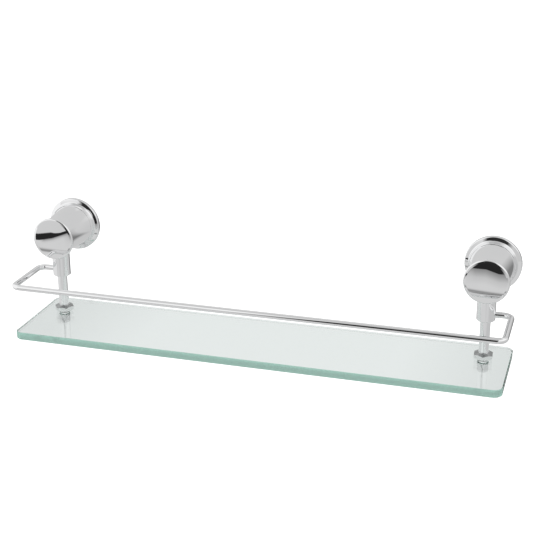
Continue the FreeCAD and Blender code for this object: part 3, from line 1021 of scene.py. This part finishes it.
# Behind, a grey room with a pale band high up and one dark corner.
behind_greys = ((-90, 0.62), (-30, 0.6), (4, 0.66), (45, 0.66), (50, 0.95), (56, 0.95), (62, 0.6))
behind_right = (118, 140)
behind_left = (-116, -136)
corner_greys = ((-30, 1.0), (-22, 0.35), (-10, 0.35), (4, 0.75), (14, 1.0))
corner_swings = ((142, 0.0), (148, 1.0), (176, 1.0), (180, 0.0))
full_turn = (-180.0, 180.0)


def grey_ramp(tree, angle, stops, low=-90.0, high=90.0):
    """Grey level by an angle in degrees, from a list of (angle, grey) stops."""
    ramp = place_node(tree, "ShaderNodeValToRGB", {"Fac": share(tree, angle, low, high)})
    elements = ramp.color_ramp.elements
    while len(elements) < len(stops):
        elements.new(0.5)
    for element, (stop, grey) in zip(elements, stops):
        element.position = (stop - low) / (high - low)
        element.color = (grey, grey, grey, 1)
    return ramp.outputs["Color"]


def blended(tree, amount, first, second):
    """The first grey where an amount is 0, and the second where it is 1."""
    # A mix node has its two plain values at inputs 2 and 3, and their mixture at output 0.
    mix = place_node(tree, "ShaderNodeMix", {0: amount, 2: first, 3: second}, data_type="FLOAT")
    return mix.outputs[0]


def table_seen(tree, swing, rise, over_edge):
    """Greys of the table, with its dark line and the shade below its edge."""
    line = grey_ramp(tree, worked_out(tree, "MULTIPLY_ADD", swing, line_lean, rise), line_greys)
    off_line = worked_out(tree, "ABSOLUTE", worked_out(tree, "SUBTRACT", swing, line_middle))
    table = blended(tree, share(tree, off_line, *line_fade), line, table_grey)
    left_shade = grey_ramp(tree, over_edge, left_shade_greys)
    left_shade = blended(tree, share(tree, swing, *left_shade_fade), 1.0, left_shade)
    right_shade = grey_ramp(tree, over_edge, right_shade_greys)
    right_shade = blended(tree, share(tree, swing, *right_shade_fade), right_shade, 1.0)
    shade = blended(tree, share(tree, swing, *shade_change), left_shade, right_shade)
    around = grey_ramp(tree, swing, table_round_greys, *full_turn)
    return worked_out(tree, "MULTIPLY", worked_out(tree, "MULTIPLY", table, shade), around)


def front_seen(tree, swing, rise, over_edge):
    """Greys of the walls, the panel and the dark room that stand in front of the shelf."""
    over_gap = worked_out(tree, "MULTIPLY", over_edge, grey_ramp(tree, swing, gap_shares))
    panel = grey_ramp(tree, over_edge, panel_greys)
    panel = blended(tree, share(tree, over_gap, *gap_end), gap_grey, panel)
    left_wall = grey_ramp(tree, over_edge, left_wall_greys)
    panel = blended(tree, share(tree, swing, *left_wall_edge), left_wall, panel)
    dark_room = grey_ramp(tree, over_edge, dark_room_greys)
    front = blended(tree, share(tree, swing, *dark_room_edge), panel, dark_room)
    right_wall = grey_ramp(tree, rise, right_wall_greys)
    right_reach = worked_out(tree, "MULTIPLY_ADD", rise, right_wall_lean, swing)
    return blended(tree, share(tree, right_reach, *right_wall_edge), front, right_wall)


def behind_seen(tree, swing, rise):
    """Greys of the room behind the shelf, with its dark corner."""
    in_corner = grey_ramp(tree, swing, corner_swings, *full_turn)
    shade = blended(tree, in_corner, 1.0, grey_ramp(tree, rise, corner_greys))
    return worked_out(tree, "MULTIPLY", grey_ramp(tree, rise, behind_greys), shade)


def studio_greys(tree):
    """What polished metal sees in each direction, as a grey level."""
    place = place_node(tree, "ShaderNodeTexCoord").outputs["Generated"]
    parts = place_node(tree, "ShaderNodeSeparateXYZ", {"Vector": place}).outputs
    rise = worked_out(tree, "DEGREES", worked_out(tree, "ARCSINE", parts["Z"]))
    forward = worked_out(tree, "MULTIPLY", parts["Y"], -1.0)
    swing = worked_out(tree, "DEGREES", worked_out(tree, "ARCTAN2", parts["X"], forward))
    edge_shares = [(turn, edge / lowest_edge_rise) for turn, edge in table_edge_rises]
    table_edge = worked_out(tree, "MULTIPLY", lowest_edge_rise, grey_ramp(tree, swing, edge_shares))
    over_edge = worked_out(tree, "SUBTRACT", rise, table_edge)
    table = table_seen(tree, swing, rise, over_edge)
    front = front_seen(tree, swing, rise, over_edge)
    front = blended(tree, share(tree, over_edge, *table_edge_fade), table, front)
    to_right = share(tree, swing, *behind_right)
    to_left = share(tree, swing, *behind_left)
    turned_away = worked_out(tree, "MAXIMUM", to_right, to_left)
    return blended(tree, turned_away, front, behind_seen(tree, swing, rise))


def studio_world():
    """White to the camera and through glass, a painted studio to the chrome, and a pale room to the rest."""
    world = bpy.data.worlds.new("studio")
    world.use_nodes = True
    tree = world.node_tree
    room = tree.nodes["Background"]
    room.inputs["Color"].default_value = (1, 1, 1, 1)
    room.inputs["Strength"].default_value = room_level
    way = place_node(tree, "ShaderNodeLightPath").outputs
    mirrored = place_node(tree, "ShaderNodeBackground", {"Color": studio_greys(tree), "Strength": 1.0})
    white = place_node(tree, "ShaderNodeBackground", {"Color": (1, 1, 1, 1), "Strength": 1.0})
    to_chrome = place_node(
        tree, "ShaderNodeMixShader",
        {0: way["Is Glossy Ray"], 1: room.outputs["Background"], 2: mirrored.outputs["Background"]})
    seen = worked_out(tree, "MAXIMUM", way["Is Camera Ray"], way["Is Transmission Ray"])
    to_camera = place_node(
        tree, "ShaderNodeMixShader",
        {0: seen, 1: to_chrome.outputs["Shader"], 2: white.outputs["Background"]})
    tree.links.new(to_camera.outputs["Shader"], tree.nodes["World Output"].inputs["Surface"])
    return world


bpy.context.scene.world = studio_world()
lamp_data = bpy.data.lights.new("overhead_lamp", "AREA")
lamp_data.size = lamp_size
lamp_data.energy = lamp_power
lamp = bpy.data.objects.new("overhead_lamp", lamp_data)
lamp.location = lamp_place
lamp.visible_glossy = False
bpy.context.scene.collection.objects.link(lamp)
bpy.context.scene.view_settings.view_transform = "Standard"
bpy.context.scene.cycles.max_bounces = most_bounces
bpy.context.scene.cycles.glossy_bounces = mirror_bounces
bpy.context.scene.cycles.transmission_bounces = mirror_bounces


# Camera
# It stands in front of the shelf, to the right and above, where the photograph was taken.
camera_place = (0.334033, -1.137257, 0.412805)
camera_turn = math.radians(16.12)
camera_dip = math.radians(20.993)
camera_lens = 78.17
sensor_width = 36.0
camera_data = bpy.data.cameras.new("camera")
camera_data.sensor_width = sensor_width
camera_data.lens = camera_lens
camera = bpy.data.objects.new("camera", camera_data)
camera.location = camera_place
camera.rotation_euler = (math.pi / 2 - camera_dip, 0, camera_turn)
bpy.context.scene.collection.objects.link(camera)
bpy.context.scene.camera = camera
